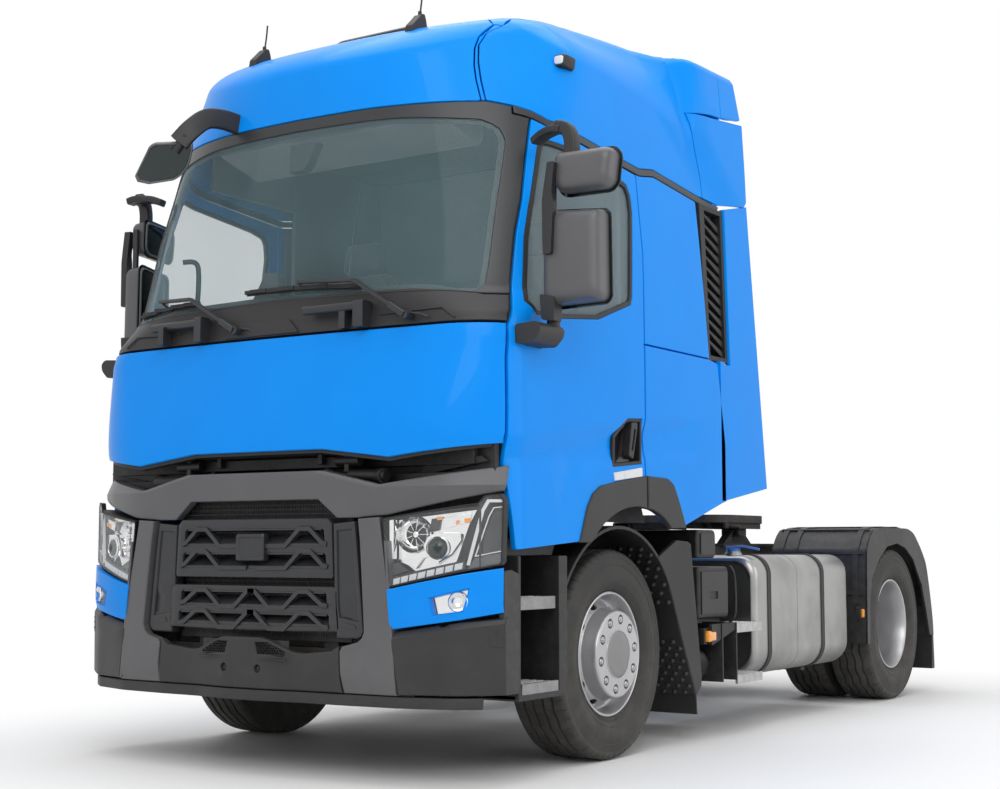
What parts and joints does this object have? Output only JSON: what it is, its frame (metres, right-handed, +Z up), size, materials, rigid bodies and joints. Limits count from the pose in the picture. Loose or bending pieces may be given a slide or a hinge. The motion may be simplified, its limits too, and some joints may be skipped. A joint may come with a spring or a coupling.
{
  "type": "truck tractor unit",
  "caption": "Cab-over tractor unit with sleeper cab, single front wheels, twin rear wheels, air deflectors and a fifth wheel.",
  "frame": {"origin": "on the road under the middle of the truck's bounding box; the truck's centre plane is 89 mm towards -X, because one door mirror is out and the other folded", "axes": "+Z up, the cab faces -Y, +X to the driver's (left) side"},
  "size_m": [3.1122, 5.975, 3.775],
  "materials": {
    "paint": "gloss clear coat",
    "dark_trim": "satin",
    "grey_trim": "satin",
    "black_steel": "satin",
    "cast": "rough",
    "bright_alloy": "brushed",
    "rim_silver": "satin",
    "tyre": "matt",
    "clear_glass": "clear",
    "lamp": "clear",
    "tail_lamp": "clear",
    "interior": "grained",
    "fabric": "woven"
  },
  "bodies": {
    "chassis": {"frame": "black_steel", "engine_block": "cast", "radiator": "bright_alloy", "front_axle": "black_steel", "rear_axle": "black_steel", "bumper": "dark_trim", "bumper_corners": "dark_trim", "grille_frame": "grey_trim", "grille": "dark_trim", "headlamps": "lamp", "lamp_panels": "paint", "tail_lamps": "tail_lamp", "entry_steps": "dark_trim", "front_mudguards": "dark_trim", "fuel_tanks": "bright_alloy", "tank_brackets": "black_steel", "equipment_boxes": "dark_trim", "silencer": "bright_alloy", "side_steps": "bright_alloy", "deck": "bright_alloy", "rear_fenders": "dark_trim", "fifth_wheel_base": "black_steel"},
    "cab": {"cab_sides": "paint", "cab_back_wall": "paint", "cab_front": "dark_trim", "windscreen": "clear_glass", "cab_roof": "paint", "roof_side_deflectors": "paint", "roof_spoiler": "paint", "side_deflectors": "paint", "louvres": "dark_trim", "cab_floor": "black_steel", "dashboard": "interior", "steering_wheel": "interior", "seats": "fabric", "bunk": "fabric", "wipers": "dark_trim", "roof_fittings": "dark_trim", "front_mirror": "dark_trim"},
    "front_panel": {"front_panel": "paint"},
    "door_left": {"door_left": "paint", "door_window_left": "clear_glass", "mirror_bracket_left": "dark_trim"},
    "door_right": {"door_right": "paint", "door_window_right": "clear_glass", "mirror_bracket_right": "dark_trim"},
    "mirror_left": {"mirror_left": "grey_trim"},
    "mirror_right": {"mirror_right": "grey_trim"},
    "knuckle_left": {"knuckle_left": "black_steel"},
    "knuckle_right": {"knuckle_right": "black_steel"},
    "wheel_front_left": {"rim_front_left": "rim_silver", "tyre_front_left": "tyre"},
    "wheel_front_right": {"rim_front_right": "rim_silver", "tyre_front_right": "tyre"},
    "wheel_rear_left": {"rim_rear_left": "rim_silver", "tyres_rear_left": "tyre"},
    "wheel_rear_right": {"rim_rear_right": "rim_silver", "tyres_rear_right": "tyre"},
    "fifth_wheel": {"fifth_wheel_plate": "black_steel"}
  },
  "joints": [
    {"name": "cab_tilt", "type": "hinge", "parent": "chassis", "child": "cab", "pos_m": [-0.089, -2.662, 1.08], "axis": [1, 0, 0], "range_deg": [0, 60]},
    {"name": "front_panel_lift", "type": "hinge", "parent": "cab", "child": "front_panel", "pos_m": [-0.089, -2.797, 2.012], "axis": [-1, 0, 0], "range_deg": [0, 70]},
    {"name": "door_left_open", "type": "hinge", "parent": "cab", "child": "door_left", "pos_m": [1.136, -2.597, 2], "axis": [0, 0, -1], "range_deg": [0, 75]},
    {"name": "door_right_open", "type": "hinge", "parent": "cab", "child": "door_right", "pos_m": [-1.314, -2.597, 2], "axis": [0, 0, 1], "range_deg": [0, 75]},
    {"name": "mirror_left_fold", "type": "hinge", "parent": "door_left", "child": "mirror_left", "pos_m": [1.236, -2.412, 2.4], "axis": [0, 0, 1], "range_deg": [0, 75]},
    {"name": "mirror_right_unfold", "type": "hinge", "parent": "door_right", "child": "mirror_right", "pos_m": [-1.414, -2.412, 2.4], "axis": [0, 0, 1], "range_deg": [0, 75]},
    {"name": "steer_left", "type": "hinge", "parent": "chassis", "child": "knuckle_left", "pos_m": [0.811, -1.612, 0.507], "axis": [0, 0, 1], "range_deg": [-38, 38]},
    {"name": "steer_right", "type": "hinge", "parent": "chassis", "child": "knuckle_right", "pos_m": [-0.989, -1.612, 0.507], "axis": [0, 0, 1], "range_deg": [-38, 38]},
    {"name": "wheel_front_left_spin", "type": "hinge", "parent": "knuckle_left", "child": "wheel_front_left", "pos_m": [0.936, -1.612, 0.507], "axis": [1, 0, 0], "continuous": true},
    {"name": "wheel_front_right_spin", "type": "hinge", "parent": "knuckle_right", "child": "wheel_front_right", "pos_m": [-1.114, -1.612, 0.507], "axis": [1, 0, 0], "continuous": true},
    {"name": "wheel_rear_left_spin", "type": "hinge", "parent": "chassis", "child": "wheel_rear_left", "pos_m": [0.811, 2.188, 0.507], "axis": [1, 0, 0], "continuous": true},
    {"name": "wheel_rear_right_spin", "type": "hinge", "parent": "chassis", "child": "wheel_rear_right", "pos_m": [-0.989, 2.188, 0.507], "axis": [1, 0, 0], "continuous": true},
    {"name": "fifth_wheel_tilt", "type": "hinge", "parent": "chassis", "child": "fifth_wheel", "pos_m": [-0.089, 1.588, 1.14], "axis": [1, 0, 0], "range_deg": [-12, 12]}
  ],
  "couplings": [
    {"joint": "steer_right", "follows": "steer_left", "ratio": 1}
  ]
}
